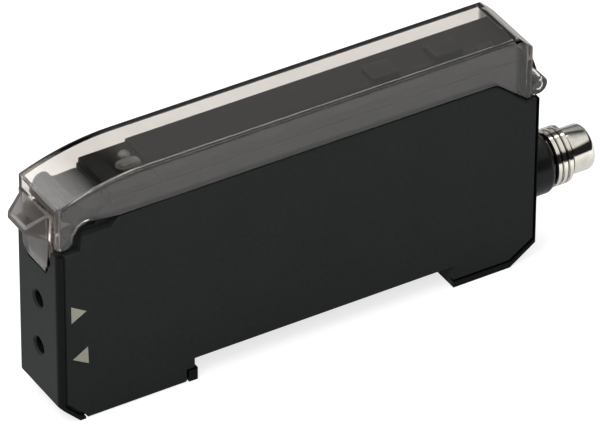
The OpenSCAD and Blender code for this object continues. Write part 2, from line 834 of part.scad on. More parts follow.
// Clamp lever: ribbed pad, saddle and hub, with a fine ridge along its middle
module clamp_lever() {
    hub_r = 1.15;
    hub_y = cheek_inner_y - move_gap;
    saddle_z = pad_top_z - 1.15;
    under_z = lever_z + cheek_r + move_gap;
    pad_z = pad_top_z - pad_r;
    rib_step = 16;
    ridge = 0.2;
    color(body_black) difference() {
        union() {
            side(-lever_w / 2, lever_w / 2) union() {
                translate([pad_x, pad_z]) circle(pad_r);
                polygon([
                    [pad_x - pad_r, pad_z - 0.9], [pad_x - pad_r, pad_z], [pad_x + pad_r, pad_z + 0.2],
                    [pad_x + pad_r + 0.9, saddle_z - 0.1], [lever_x - 0.7, saddle_z],
                    [lever_x + 0.9, saddle_z + 0.05],
                    [lever_x + 0.9, under_z], [lever_x - 1.5, under_z], [pad_x + pad_r, pad_z - 0.9]
                ]);
            }
            side(-hub_y, hub_y) union() {
                translate([lever_x, lever_z]) circle(hub_r);
                polygon([
                    [lever_x - hub_r, lever_z], [lever_x - 1.6, under_z + eps],
                    [lever_x + 0.9, under_z + eps],
                    [lever_x + hub_r, lever_z]
                ]);
            }
            // Ridge along the middle of the pad and the saddle
            side(-ridge / 2, ridge / 2) union() {
                translate([pad_x, pad_z]) circle(pad_r + ridge / 2);
                polygon([
                    [pad_x, pad_z], [pad_x + pad_r, pad_z + 0.2 + ridge / 2],
                    [pad_x + pad_r + 0.9, saddle_z - 0.1 + ridge / 2], [lever_x - 0.7, saddle_z + ridge / 2],
                    [lever_x + 0.9, saddle_z + 0.05 + ridge / 2], [lever_x + 0.9, under_z]
                ]);
            }
            // Rounded nub that meets the gripper slide
            rod_y(port_y - grip_w / 2 + 0.6, port_y + grip_w / 2 - 0.6, grip_x + grip_t / 2, nub_z, nub_r);
        }
        rod_y(-hub_y - eps, hub_y + eps, lever_x, lever_z, lever_pin_r + run_gap);
        // Ribs of the pad
        for (i = [0 : 4]) let (a = 90 + 10 + rib_step * i)
            rod_y(-lever_w / 2 - eps, lever_w / 2 + eps,
                pad_x + pad_r * cos(a), pad_z + pad_r * sin(a), 0.12);
    }
}

// Steel pin of the clamp lever
module clamp_axle() {
    color(steel) rod_y(-axle_y, axle_y, lever_x, lever_z, lever_pin_r);
}

// Gripper plate with a window for each fibre
module clamp_slide() {
    color([0.75, 0.74, 0.70]) difference() {
        box(grip_x, grip_x + grip_t, port_y - grip_w / 2, port_y + grip_w / 2, grip_low_z, grip_top_z);
        for (z = port_zs) rod_x(grip_x - eps, grip_x + grip_t + eps, port_y, z + grip_lift, grip_window_r);
    }
}

// Coil spring that lifts the gripper plate
module clamp_spring() {
    color(steel) translate([grip_x + grip_t / 2, port_y, spring_floor])
        coil(grip_low_z - spring_floor - seat, grip_spring_r, spring_wire_r, 4);
}

// Optics block with a guide bore for each fibre and a seat for each light element
module fibre_block() {
    color(deep_black) difference() {
        box(block_x, block_end, -block_near, inner_y, port_low_z - block_edge, port_top_z + block_edge);
        for (z = port_zs) {
            rod_x(block_x - eps, seat_x + eps, port_y, z, port_r);
            rod_x(seat_x, block_end + eps, port_y, z, led_r + run_gap);
        }
        box(block_x + block_lip, block_end - block_lip, -block_near - eps, block_recess - block_near,
            port_low_z + block_near, port_top_z - block_near);
    }
}

// Light element with a domed front, a rim and two leads
module light_element(z) {
    dome_x = seat_x + led_r + 0.3;
    union() {
        translate([dome_x, port_y, z]) sphere(led_r);
        rod_x(dome_x, led_end - 0.4, port_y, z, led_r);
        rod_x(block_end, led_end, port_y, z, led_r + 0.4);
        for (s = [-1, 1]) rod_x(led_end - eps, lead_end, port_y, z + s * lead_pitch, lead_r);
    }
}

module emitter() { color([0.75, 0.25, 0.22]) light_element(port_top_z); }
module receiver() { color([0.30, 0.26, 0.32]) light_element(port_low_z); }

// Upright circuit board on four posts
module main_board() {
    color(board_green) difference() {
        box(board_x, board_end, board_y, board_y + board_t, board_low_z, board_top_z);
        for (x = post_xs, z = post_zs) rod_y(board_y - eps, board_y + board_t + eps, x, z, peg_r + run_gap);
    }
}

// Controller, driver, regulator and two capacitors on the main board
module board_chips() {
    mid_z = (board_low_z + board_top_z) / 2;
    mid_x = (board_x + board_end) / 2;
    color(deep_black) {
        box(mid_x - chip_gap - controller_l, mid_x - chip_gap, board_y - chip_t, board_y,
            mid_z - controller_l / 2, mid_z + controller_l / 2);
        for (s = [-1, 1])
            box(mid_x + chip_gap, mid_x + chip_gap + driver_l, board_y - chip_t, board_y,
                mid_z + s * driver_w - driver_w / 2, mid_z + s * driver_w + driver_w / 2);
        for (s = [-1, 1])
            rod_y(board_y - capacitor_t, board_y, mid_x + 2 * chip_gap + driver_l + capacitor_r,
                mid_z + s * driver_w, capacitor_r);
    }
}

// Small board under the deck
module key_board() {
    color(board_green)
        box(head_x + wall + 0.3, head_end - wall - 0.3, -key_board_y, key_board_y, ledge_z, key_board_top);
}

// Pin strip from the main board up to the key board
module board_header() {
    color(deep_black)
        box((board_x + board_end - header_l) / 2, (board_x + board_end + header_l) / 2,
            board_y - header_t, board_y, board_top_z - header_lap, ledge_z);
}

// Two dome switches under the keys
module tact_switches() {
    color(steel) for (x = [set_x, mode_x]) {
        box(x - 1.6, x + 1.6, key_y - 1.5, key_y + 1.5, key_board_top, key_board_top + switch_body_t);
        translate([x, key_y, key_board_top + switch_body_t - eps])
            cylinder(h = switch_top - key_board_top - switch_body_t + eps, r = 0.7);
    }
}

// Small lamps on the key board, one under each lens
module indicator_leds() {
    spots = [
        output_lens_at, power_lens_at, [set_x + window_off, window_y], [mode_x + window_off, window_y]
    ];
    color(pale_lens) for (p = spots)
        translate([p[0] - chip / 2, p[1] - chip / 2, key_board_top]) cube(chip);
}

// Key with a flange that keeps it under the deck
module key(x) {
    top = deck_z - deck_t - slip;
    l = key_l / 2;
    w = key_w / 2;
    box(x - l, x + l, key_y - w, key_y + w, top - flange_t, key_z);
    box(x - l - flange, x + l + flange, key_y - w - flange, key_y + w + flange, top - flange_t, top);
}

module set_button() { color(body_black) key(set_x); }
module mode_button() { color(body_black) key(mode_x); }

// Small lamp dome with a lip under the deck
module power_lens() {
    r = power_lens_r;
    under = deck_step_z - deck_t - seat;
    dome_z = deck_step_z + 0.2;
    color(pale_lens) translate([power_lens_at[0], power_lens_at[1], 0]) {
        translate([0, 0, under - flange_t]) cylinder(h = flange_t, r = r + lens_lip);
        translate([0, 0, under - flange_t]) cylinder(h = dome_z - under + flange_t, r = r);
        translate([0, 0, dome_z]) intersection() {
            translate([0, 0, -r * 0.75]) sphere(r * 1.25);
            cylinder(h = r, r = r);
        }
    }
}

// Large lamp lens: a round-ended bar in two tiers with a lip under the deck
module output_lens() {
    l = output_lens_l;
    w = output_lens_w;
    tier = w / 8;
    under = deck_step_z - deck_t - seat;
    color(pale_lens) translate([output_lens_at[0], output_lens_at[1], 0]) {
        plan(under - flange_t, under) bar_plan(l + 2 * lens_lip, w + 2 * lens_lip);
        plan(under - flange_t, deck_step_z + tier) bar_plan(l, w);
        plan(under, deck_step_z + 2 * tier) bar_plan(l - 2 * tier, w - 2 * tier);
    }
}

// Flat window lens, flush with the deck
module window_lens(x) {
    under = deck_z - deck_t - seat;
    l = window_l / 2;
    w = window_w / 2;
    box(x - l, x + l, window_y - w, window_y + w, under - flange_t, deck_z + 0.1);
    box(x - l - flange, x + l + flange, window_y - w - flange, window_y + w + flange,
        under - flange_t, under);
}

module set_lens() { color(pale_lens) window_lens(set_x + window_off); }
module mode_lens() { color(pale_lens) window_lens(mode_x + window_off); }

// A turned piece on the plug's axis, from an outline in length and radius
module turned() {
    translate([0, 0, plug_z]) rotate([0, 90, 0]) rotate_extrude() rotate([0, 0, 90]) children();
}

// Black boss: round-ended collar outside, neck through the back wall
module plug_boss() {
    round_r = 0.8;
    color(deep_black) turned() difference() {
        union() {
            translate([neck_start, -neck_r]) square([body_l - neck_start + eps, neck_r]);
            translate([body_l, -boss_r]) square([boss_l - round_r, boss_r]);
            translate([body_l, round_r - boss_r]) square([boss_l, boss_r - round_r]);
            translate([boss_end - round_r, round_r - boss_r]) circle(round_r);
        }
        translate([neck_start - 1, -neck_bore_r]) square([body_l - neck_start + 2, neck_bore_r + 1]);
        translate([body_l + boss_floor, -socket_r]) square([boss_l + 1, socket_r + 1]);
        translate([boss_end - spigot_l, -spigot_r - seat]) square([spigot_l + 1, spigot_r + 1]);
    }
}

// Six-sided nut on the neck inside the back wall
module plug_nut() {
    x1 = body_l - back_wall - seat;
    color(steel) difference() {
        translate([x1 - nut_t, 0, plug_z]) rotate([0, 90, 0]) cylinder(h = nut_t, r = nut_r, $fn = 6);
        rod_x(x1 - nut_t - eps, x1 + eps, 0, plug_z, neck_r + seat);
    }
}

// Sealing washer in the groove before the thread
module plug_seal() {
    color(deep_black) turned() translate([boss_end + seat, -seal_r])
        square([groove_l - 2 * seat, seal_r - groove_r - seat]);
}

// Metal sleeve: spigot in the boss, groove, threaded stretch and smooth nose with a chamfered rim
module plug_shell() {
    rim = 0.45;
    x0 = boss_end - spigot_l + seat;
    color(nickel) turned() polygon([
        [x0, -socket_r], [x0, -spigot_r], [thread_start, -spigot_r], [thread_start, -thread_r],
        [sleeve_start, -thread_r], [sleeve_start, -sleeve_r], [plug_end - rim, -sleeve_r],
        [plug_end, rim - sleeve_r], [plug_end, -socket_r]
    ]);
}

// Insert that holds the contact pins
module pin_carrier() {
    color(deep_black) difference() {
        union() {
            rod_x(carrier_start, body_l + boss_floor + 0.5, 0, plug_z, neck_bore_r - seat);
            rod_x(body_l + boss_floor + seat, carrier_end, 0, plug_z, socket_r - seat);
        }
        contact_set(contact_r + seat, carrier_start - 1, carrier_end + 1);
    }
}

module contact_set(r, x0, x1) {
    for (a = [45 : 90 : 315]) rod_x(x0, x1, contact_ring * cos(a), plug_z + contact_ring * sin(a), r);
}

// Four round-tipped contact pins
module contact_pins() {
    color(gold) {
        contact_set(contact_r, contact_tail, contact_tip);
        for (a = [45 : 90 : 315])
            translate([contact_tip, contact_ring * cos(a), plug_z + contact_ring * sin(a)]) sphere(contact_r);
    }
}

// Sprung latch: ramped nose, straight body and two wings that stop it
module rail_latch() {
    tip = slot_end - latch_reach;
    color(deep_black) {
        side(latch_y - latch_w / 2, latch_y + latch_w / 2) polygon([
            [tip, latch_top_z], [tip, latch_mid_z], [tip + 1.2, latch_low_z], [latch_end, latch_low_z],
            [latch_end, latch_top_z]
        ]);
        translate([latch_end - latch_wing_l, latch_y - latch_w / 2 - latch_wing, latch_low_z])
            cube([latch_wing_l, latch_w + 2 * latch_wing, latch_top_z - latch_low_z]);
    }
}

// Coil spring behind the latch
module latch_spring() {
    color(steel) translate([latch_end + seat, latch_y, latch_mid_z]) rotate([0, 90, 0])
        coil(channel_end - latch_end - 2 * seat, latch_spring_r, latch_wire_r, 6);
}

placed() frame();
placed() side_cover();
placed() lid();
placed() hinge_pin();
placed() deck();
placed() clamp_lever();
placed() clamp_axle();
placed() clamp_slide();
placed() clamp_spring();
placed() fibre_block();
placed() emitter();
placed() receiver();
placed() main_board();
placed() board_chips();
placed() key_board();
placed() board_header();
placed() tact_switches();
placed() indicator_leds();
placed() set_button();
placed() mode_button();
placed() power_lens();
placed() output_lens();
placed() set_lens();
placed() mode_lens();
placed() plug_boss();
placed() plug_nut();
placed() plug_seal();
placed() plug_shell();
placed() pin_carrier();
placed() contact_pins();
placed() rail_latch();
placed() latch_spring();
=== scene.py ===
"""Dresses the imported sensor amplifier: satin black housing, smoky clear lid, nickel plug, printed marks."""

import json
import math

import bmesh
import bpy
from mathutils import Matrix, Vector


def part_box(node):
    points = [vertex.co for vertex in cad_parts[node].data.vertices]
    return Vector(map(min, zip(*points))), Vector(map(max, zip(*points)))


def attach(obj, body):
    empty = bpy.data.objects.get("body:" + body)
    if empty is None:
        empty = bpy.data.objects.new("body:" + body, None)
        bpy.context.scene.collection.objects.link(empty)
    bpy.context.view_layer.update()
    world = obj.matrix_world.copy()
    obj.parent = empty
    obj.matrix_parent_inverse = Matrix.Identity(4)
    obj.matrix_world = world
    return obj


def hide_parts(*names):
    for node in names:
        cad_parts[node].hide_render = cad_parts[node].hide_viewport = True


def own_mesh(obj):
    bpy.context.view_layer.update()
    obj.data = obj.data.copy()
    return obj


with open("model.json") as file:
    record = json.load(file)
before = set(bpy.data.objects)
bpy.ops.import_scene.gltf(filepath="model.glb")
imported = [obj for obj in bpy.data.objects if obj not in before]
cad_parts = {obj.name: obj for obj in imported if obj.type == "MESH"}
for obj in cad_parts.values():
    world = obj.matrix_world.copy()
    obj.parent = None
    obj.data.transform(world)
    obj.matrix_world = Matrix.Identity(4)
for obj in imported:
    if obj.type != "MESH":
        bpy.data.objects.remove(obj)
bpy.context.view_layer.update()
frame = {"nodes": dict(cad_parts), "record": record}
scene = bpy.context.scene
MM = 0.001

# Places and sizes read from the solids and the record

FRONT_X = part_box("frame")[0].x
NEAR_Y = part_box("side_cover")[0].y
LID_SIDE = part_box("lid")[1].y
# The lid's rear wall, in front of its hinge knuckles
LID_REAR = FRONT_X + 70.7 * MM
BOSS_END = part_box("plug_boss")[1].x
SHELL_LOW, SHELL_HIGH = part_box("plug_shell")
PLUG_Z = (SHELL_LOW.z + SHELL_HIGH.z) / 2
PORTS = [mount for mount in frame["record"]["mounts"] if mount["kind"] == "bore"]

# Plug sizes

THREAD_R = 3.95 * MM
THREAD_ROOT_R = 3.50 * MM
THREAD_START = BOSS_END + 0.25 * MM
THREAD_END = THREAD_START + 3.1 * MM
THREAD_PITCH = 0.9 * MM
SPIGOT_R = 3.3 * MM
SLEEVE_R = 3.2 * MM
SOCKET_R = 2.7 * MM


def at(x, y, z):
    """A point given in millimetres from the front face, the mid plane and the feet."""
    return Vector((FRONT_X + x * MM, y * MM, z * MM))


# Camera at the photograph's viewing angle

CAMERA_AZIMUTH = -31.044
CAMERA_ELEVATION = 36.006
CAMERA_ROLL = 0.341
CAMERA_DISTANCE = 0.87405
CAMERA_LENS = 410.54
CAMERA_REACH = (0.01, 20)
SENSOR_WIDTH = 36.0
AIM = at(35.3725, -5.4, 20.838)


def make_camera():
    a, e, r = (math.radians(v) for v in (CAMERA_AZIMUTH, CAMERA_ELEVATION, CAMERA_ROLL))
    back = Vector((math.sin(a) * math.cos(e), -math.cos(a) * math.cos(e), math.sin(e)))
    right = Vector((0, 0, 1)).cross(back).normalized()
    up = back.cross(right)
    rolled_right = right * math.cos(r) + up * math.sin(r)
    rolled_up = up * math.cos(r) - right * math.sin(r)
    data = bpy.data.cameras.new("camera")
    data.sensor_fit = "HORIZONTAL"
    data.sensor_width = SENSOR_WIDTH
    data.lens = CAMERA_LENS
    data.clip_start, data.clip_end = CAMERA_REACH
    obj = bpy.data.objects.new("camera", data)
    scene.collection.objects.link(obj)
    spot = AIM + back * CAMERA_DISTANCE
    obj.matrix_world = Matrix((
        (rolled_right.x, rolled_up.x, back.x, spot.x),
        (rolled_right.y, rolled_up.y, back.y, spot.y),
        (rolled_right.z, rolled_up.z, back.z, spot.z),
        (0, 0, 0, 1),
    ))
    scene.camera = obj


make_camera()


# Building blocks of the node trees

COLOUR = "NodeSocketColor"
NUMBER = "NodeSocketFloat"
# Places of the colour sockets among a Mix node's inputs and outputs
MIX_FIRST = 6
MIX_SECOND = 7
MIX_RESULT = 2


def node(tree, kind, **values):
    made = tree.nodes.new(kind)
    for key, value in values.items():
        setattr(made, key, value)
    return made


def feed(tree, value, socket):
    """Links another node's output to a socket, or sets a plain value on it."""
    if hasattr(value, "links"):
        tree.links.new(value, socket)
    else:
        socket.default_value = value


def object_coords(tree):
    return node(tree, "ShaderNodeTexCoord").outputs["Object"]


def axes(tree, vector):
    """The X, Y and Z of a vector."""
    split = node(tree, "ShaderNodeSeparateXYZ")
    feed(tree, vector, split.inputs[0])
    return split.outputs


def math_node(tree, operation, a, b=0.0):
    made = node(tree, "ShaderNodeMath", operation=operation)
    feed(tree, a, made.inputs[0])
    feed(tree, b, made.inputs[1])
    return made.outputs[0]


def weighed(tree, a, share, b):
    """A mean of two values, of which a has the given share."""
    rest = math_node(tree, "MULTIPLY", b, 1 - share)
    return math_node(tree, "ADD", math_node(tree, "MULTIPLY", a, share), rest)


def squares(tree, a, b):
    """The sum of two squares."""
    return math_node(tree, "ADD", math_node(tree, "MULTIPLY", a, a), math_node(tree, "MULTIPLY", b, b))


def noise(tree, coords, scale, detail, rough):
    made = node(tree, "ShaderNodeTexNoise")
    settings = (("Vector", coords), ("Scale", scale), ("Detail", detail), ("Roughness", rough))
    for label, value in settings:
        feed(tree, value, made.inputs[label])
    return made.outputs["Fac"]


def remap(tree, value, low, high, to_low=0.0, to_high=1.0):
    """Carries the span from low to high over to another span, and stays at its ends outside."""
    made = node(tree, "ShaderNodeMapRange")
    settings = (("Value", value), ("From Min", low), ("From Max", high),
                ("To Min", to_low), ("To Max", to_high))
    for label, number in settings:
        feed(tree, number, made.inputs[label])
    return made.outputs["Result"]


def mix_colour(tree, factor, a, b):
    made = node(tree, "ShaderNodeMix", data_type="RGBA")
    for socket, value in (("Factor", factor), (MIX_FIRST, a), (MIX_SECOND, b)):
        feed(tree, value, made.inputs[socket])
    return made.outputs[MIX_RESULT]


# Shader node groups shared by the finishes; noise scales are in waves per metre

# The middle stretch of a noise, spread over a full change of tone or gloss
NOISE_SPAN = (0.3, 0.7)
# Share of the first of the two noises that make the tone or the gloss
TONE_SHARE = 0.55
GLOSS_SHARE = 0.6
MOULDED_TONE_SCALE = 90.0
MOULDED_SPECK_SCALE = 1500.0
# Lathe marks are fine along the axis and long round it
LATHE_STRETCH = (1.0, 0.03, 0.03)
METAL_CLOUD_SCALE = 420.0
METAL_CLOUD_SPAN = (0.35, 0.7)
CLEAR_CLOUD_SCALE = 160.0
CLEAR_RIPPLE_SCALE = 120.0
HAZE_SPAN = (0.45, 0.75)
HANDLED_SPAN = (0.4, 0.75)
# Faces that point up at least this much belong to the top of the lid
TOP_FACING = 0.3


def new_group(name, inputs):
    """An effect with named inputs that puts out a colour, a roughness and a bump height."""
    tree = bpy.data.node_groups.new(name, "ShaderNodeTree")
    for label, value in inputs.items():
        kind = COLOUR if isinstance(value, tuple) else NUMBER
        socket = tree.interface.new_socket(name=label, in_out="INPUT", socket_type=kind)
        socket.default_value = value
    for label, kind in (("Colour", COLOUR), ("Roughness", NUMBER), ("Height", NUMBER)):
        tree.interface.new_socket(name=label, in_out="OUTPUT", socket_type=kind)
    return tree, node(tree, "NodeGroupInput").outputs, node(tree, "NodeGroupOutput").inputs


def moulded_grain_group():
    """Spark-eroded moulding texture: a fine pebble height, a slow change of tone and a change of gloss."""
    tree, given, out = new_group("moulded_grain", {
        "Colour": (0.02, 0.02, 0.02, 1), "Light Colour": (0.03, 0.03, 0.03, 1),
        "Grain Scale": 5200.0, "Low Gloss": 0.38, "High Gloss": 0.52,
    })
    coords = object_coords(tree)
    fine = noise(tree, coords, given["Grain Scale"], detail=2.0, rough=0.6)
    broad = noise(tree, coords, MOULDED_TONE_SCALE, detail=3.0, rough=0.55)
    speck = noise(tree, coords, MOULDED_SPECK_SCALE, detail=2.0, rough=0.5)
    tone = remap(tree, weighed(tree, broad, TONE_SHARE, speck), *NOISE_SPAN)
    feed(tree, mix_colour(tree, tone, given["Colour"], given["Light Colour"]), out["Colour"])
    gloss = weighed(tree, broad, GLOSS_SHARE, fine)
    feed(tree, remap(tree, gloss, *NOISE_SPAN, given["Low Gloss"], given["High Gloss"]), out["Roughness"])
    feed(tree, fine, out["Height"])
    return tree


def turned_metal_group():
    """Lathe marks round the plug's axis, a slow change of tone and painted shade in the thread's grooves,
    between two radii.

    The default groove radii paint no shade on any surface.
    """
    tree, given, out = new_group("turned_metal", {
        "Colour": (0.7, 0.68, 0.64, 1), "Dull Colour": (0.5, 0.48, 0.45, 1),
        "Mark Scale": 2600.0, "Low Gloss": 0.12, "High Gloss": 0.3, "Axis Height": 0.0,
        "Groove Inner": 0.0, "Groove Deep": -0.002, "Groove Outer": -0.001,
        "Groove Shade Colour": (0.05, 0.045, 0.04, 1),
    })
    coords = object_coords(tree)
    place = axes(tree, coords)
    rise = math_node(tree, "SUBTRACT", place["Z"], given["Axis Height"])
    radius = math_node(tree, "SQRT", squares(tree, rise, place["Y"]))
    # Painted shade: darker towards the thread's root, between the groove radii
    shade = remap(tree, radius, given["Groove Deep"], given["Groove Outer"], 1.0, 0.0)
    past_inner = math_node(tree, "GREATER_THAN", radius, given["Groove Inner"])
    groove = math_node(tree, "MULTIPLY", shade, past_inner)
    stretch = node(tree, "ShaderNodeMapping")
    feed(tree, LATHE_STRETCH, stretch.inputs["Scale"])
    feed(tree, coords, stretch.inputs["Vector"])
    marks = noise(tree, stretch.outputs["Vector"], given["Mark Scale"], detail=3.0, rough=0.6)
    cloud = noise(tree, coords, METAL_CLOUD_SCALE, detail=3.0, rough=0.6)
    clean = mix_colour(tree, remap(tree, cloud, *METAL_CLOUD_SPAN), given["Colour"], given["Dull Colour"])
    feed(tree, mix_colour(tree, groove, clean, given["Groove Shade Colour"]), out["Colour"])
    gloss = weighed(tree, marks, GLOSS_SHARE, cloud)
    feed(tree, remap(tree, gloss, *NOISE_SPAN, given["Low Gloss"], given["High Gloss"]), out["Roughness"])
    feed(tree, marks, out["Height"])
    return tree


def handled_clear_group():
    """Faint haze of a handled clear moulding, frosted in front, darker over a band at the rear, and with
    painted shade along the far upper rim.

    The default places of frost, rear and rim lie far outside the object, so there are none.
    """
    tree, given, out = new_group("handled_clear", {
        "Colour": (0.85, 0.82, 0.8, 1), "Haze Colour": (0.8, 0.77, 0.75, 1),
        "Low Gloss": 0.01, "High Gloss": 0.08,
        "Frost Start": -1.0, "Frost Full": -2.0, "Frost Gloss": 0.35, "Frost Colour": (0.7, 0.68, 0.66, 1),
        "Rear Start": 1.0, "Rear Full": 2.0, "Rear End": 3.0, "Rear Colour": (0.4, 0.38, 0.36, 1),
        "Rim Start": 1.0, "Rim Full": 2.0, "Rim Shade Colour": (0.1, 0.08, 0.07, 1),
    })
    texture = node(tree, "ShaderNodeTexCoord")
    coords = texture.outputs["Object"]
    place = axes(tree, coords)
    facing = axes(tree, texture.outputs["Normal"])
    cloud = noise(tree, coords, CLEAR_CLOUD_SCALE, detail=4.0, rough=0.6)
    ripple = noise(tree, coords, CLEAR_RIPPLE_SCALE, detail=1.0, rough=0.4)
    frost = remap(tree, place["X"], given["Frost Start"], given["Frost Full"])
    rear = remap(tree, place["X"], given["Rear Start"], given["Rear Full"])
    rear = math_node(tree, "MULTIPLY", rear, math_node(tree, "LESS_THAN", place["X"], given["Rear End"]))
    # Painted shade: top faces along the far side are darkened, where the clear edge shows dark
    rim = remap(tree, place["Y"], given["Rim Start"], given["Rim Full"])
    rim = math_node(tree, "MULTIPLY", rim, math_node(tree, "GREATER_THAN", facing["Z"], TOP_FACING))
    tint = mix_colour(tree, remap(tree, cloud, *HAZE_SPAN), given["Colour"], given["Haze Colour"])
    for mask, label in ((frost, "Frost Colour"), (rear, "Rear Colour"), (rim, "Rim Shade Colour")):
        tint = mix_colour(tree, mask, tint, given[label])
    feed(tree, tint, out["Colour"])
    handled = remap(tree, cloud, *HANDLED_SPAN, given["Low Gloss"], given["High Gloss"])
    feed(tree, remap(tree, frost, 0.0, 1.0, handled, given["Frost Gloss"]), out["Roughness"])
    feed(tree, ripple, out["Height"])
    return tree


MOULDED = moulded_grain_group()
TURNED = turned_metal_group()
CLEAR = handled_clear_group()


# Finishes

GRAIN_DEPTH = 0.03 * MM
MARK_BUMP = 0.15
MARK_DEPTH = 0.02 * MM
RIPPLE_DEPTH = 0.02 * MM


def finish_material(name, group, values, bump, depth, sockets):
    """A material whose group feeds colour, roughness and bump; what is constant sits on the shader."""
    mat = bpy.data.materials.new(name)
    mat.use_nodes = True
    tree = mat.node_tree
    shader = tree.nodes["Principled BSDF"]
    effect = node(tree, "ShaderNodeGroup", node_tree=group)
    for label, value in values.items():
        effect.inputs[label].default_value = value
    relief = node(tree, "ShaderNodeBump")
    relief.inputs["Strength"].default_value = bump
    relief.inputs["Distance"].default_value = depth
    feed(tree, effect.outputs["Height"], relief.inputs["Height"])
    feed(tree, effect.outputs["Colour"], shader.inputs["Base Color"])
    feed(tree, effect.outputs["Roughness"], shader.inputs["Roughness"])
    feed(tree, relief.outputs["Normal"], shader.inputs["Normal"])
    for label, value in sockets.items():
        shader.inputs[label].default_value = value
    return mat


def plastic(name, colour, light, gloss=(0.4, 0.52), spec=0.08, scale=5200.0, bump=0.25):
    values = {"Colour": (*colour, 1), "Light Colour": (*light, 1), "Grain Scale": scale,
              "Low Gloss": gloss[0], "High Gloss": gloss[1]}
    return finish_material(name, MOULDED, values, bump, GRAIN_DEPTH, {"Specular IOR Level": spec})


def metal(name, colour, dull, gloss=(0.12, 0.3), grooves=None):
    values = {"Colour": (*colour, 1), "Dull Colour": (*dull, 1),
              "Low Gloss": gloss[0], "High Gloss": gloss[1], **(grooves or {})}
    return finish_material(name, TURNED, values, MARK_BUMP, MARK_DEPTH, {"Metallic": 1.0})


RESIN = {"gloss": (0.08, 0.15), "spec": 0.5, "bump": 0.05}
HOUSING = plastic("housing_satin_black", (0.0205, 0.0226, 0.022), (0.031, 0.034, 0.0332))
COVER = plastic("cover_satin_black", (0.0166, 0.0186, 0.018), (0.0246, 0.0276, 0.0267))
DECK = plastic("deck_black", (0.014, 0.0152, 0.0145), (0.022, 0.0237, 0.0228), gloss=(0.3, 0.45))
KEY = plastic("key_black", (0.005, 0.0055, 0.0053), (0.009, 0.0096, 0.0094), gloss=(0.3, 0.42), spec=0.3)
BOSS = plastic("boss_black", (0.008, 0.0084, 0.0083), (0.013, 0.0136, 0.0134), gloss=(0.2, 0.3), spec=0.15)
SEAL = plastic("seal_rubber", (0.006, 0.006, 0.006), (0.012, 0.012, 0.012), gloss=(0.6, 0.8), spec=0.2)
GRIP = plastic("gripper_natural", (0.5, 0.49, 0.45), (0.58, 0.57, 0.53))
BOARD = plastic("board_green", (0.015, 0.10, 0.04), (0.025, 0.14, 0.06), gloss=(0.25, 0.4), scale=900.0)
CHIP = plastic("chip_black", (0.012, 0.012, 0.012), (0.02, 0.02, 0.02))
EMITTER = plastic("emitter_resin", (0.42, 0.03, 0.02), (0.5, 0.05, 0.03), **RESIN)
RECEIVER = plastic("receiver_resin", (0.03, 0.02, 0.035), (0.05, 0.035, 0.055), **RESIN)
LENS = plastic("milky_lens", (0.25, 0.25, 0.24), (0.34, 0.34, 0.325), gloss=(0.12, 0.2), spec=0.5, bump=0.05)
WINDOW = plastic("smoked_window", (0.010, 0.0105, 0.010), (0.016, 0.0168, 0.016),
                 gloss=(0.1, 0.18), spec=0.5, bump=0.05)
PRINT = plastic("printed_mark", (0.44, 0.42, 0.35), (0.52, 0.50, 0.42), gloss=(0.5, 0.65), scale=3000.0)
STEEL = metal("bright_steel", (0.60, 0.60, 0.61), (0.45, 0.45, 0.46))
PIN = metal("blackened_steel", (0.09, 0.09, 0.092), (0.05, 0.05, 0.052), gloss=(0.25, 0.4))
CONTACT = metal("gold_plate", (0.83, 0.62, 0.26), (0.68, 0.48, 0.18))
# The nickel's thread grooves get painted shade between the radii given below
NICKEL = metal(
    "nickel_plate", (0.76, 0.73, 0.665), (0.60, 0.575, 0.52), gloss=(0.05, 0.13),
    grooves={"Axis Height": PLUG_Z, "Groove Inner": SPIGOT_R,
             "Groove Deep": THREAD_ROOT_R + 0.14 * MM, "Groove Outer": THREAD_R - 0.11 * MM},
)
LID = finish_material(
    "smoky_clear", CLEAR,
    {"Colour": (0.90, 0.88, 0.86, 1), "Haze Colour": (0.86, 0.84, 0.82, 1),
     "Low Gloss": 0.015, "High Gloss": 0.06,
     "Frost Start": FRONT_X - 0.15 * MM, "Frost Full": FRONT_X - 0.28 * MM, "Frost Gloss": 0.4,
     "Frost Colour": (0.38, 0.36, 0.345, 1),
     "Rear Start": LID_REAR - 2.4 * MM, "Rear Full": LID_REAR - 2.2 * MM, "Rear End": LID_REAR + 0.1 * MM,
     "Rear Colour": (0.20, 0.19, 0.18, 1),
     # Painted shade along the far upper rim of the lid's top
     "Rim Start": LID_SIDE - 1.0 * MM, "Rim Full": LID_SIDE - 0.85 * MM,
     "Rim Shade Colour": (0.035, 0.026, 0.022, 1)},
    bump=0.03, depth=RIPPLE_DEPTH, sockets={"Transmission Weight": 1.0, "IOR": 1.46},
)
LAMP = finish_material(
    "clear_lamp", CLEAR,
    {"Colour": (0.80, 0.80, 0.77, 1), "Haze Colour": (0.72, 0.72, 0.69, 1),
     "Low Gloss": 0.02, "High Gloss": 0.08},
    bump=0.05, depth=RIPPLE_DEPTH, sockets={"Transmission Weight": 0.86, "IOR": 1.5},
)

# Colour that the lid's plastic lets through, and how strongly it absorbs the rest per metre
SMOKE_COLOUR = (0.56, 0.51, 0.48)
SMOKE_DENSITY = 300.0
# Painted shade on the housing: each port is darkened to just past its edge, where shade falls in the bore,
# and the rounded rim beside the cover is darkened as a painted dark reflection
PAINTED_SHADE_COLOUR = (0.005, 0.0055, 0.0054)
PORT_EDGE = 0.03 * MM
PORT_DEPTH = 3.0 * MM
RIM_DARK = 0.5 * MM
RIM_CLEAR = 1.0 * MM


def add_smoke(mat, colour, density):
    """Lets thick stretches of a clear moulding darken."""
    tree = mat.node_tree
    smoke = node(tree, "ShaderNodeVolumeAbsorption")
    smoke.inputs["Color"].default_value = (*colour, 1)
    smoke.inputs["Density"].default_value = density
    feed(tree, smoke.outputs["Volume"], tree.nodes["Material Output"].inputs["Volume"])


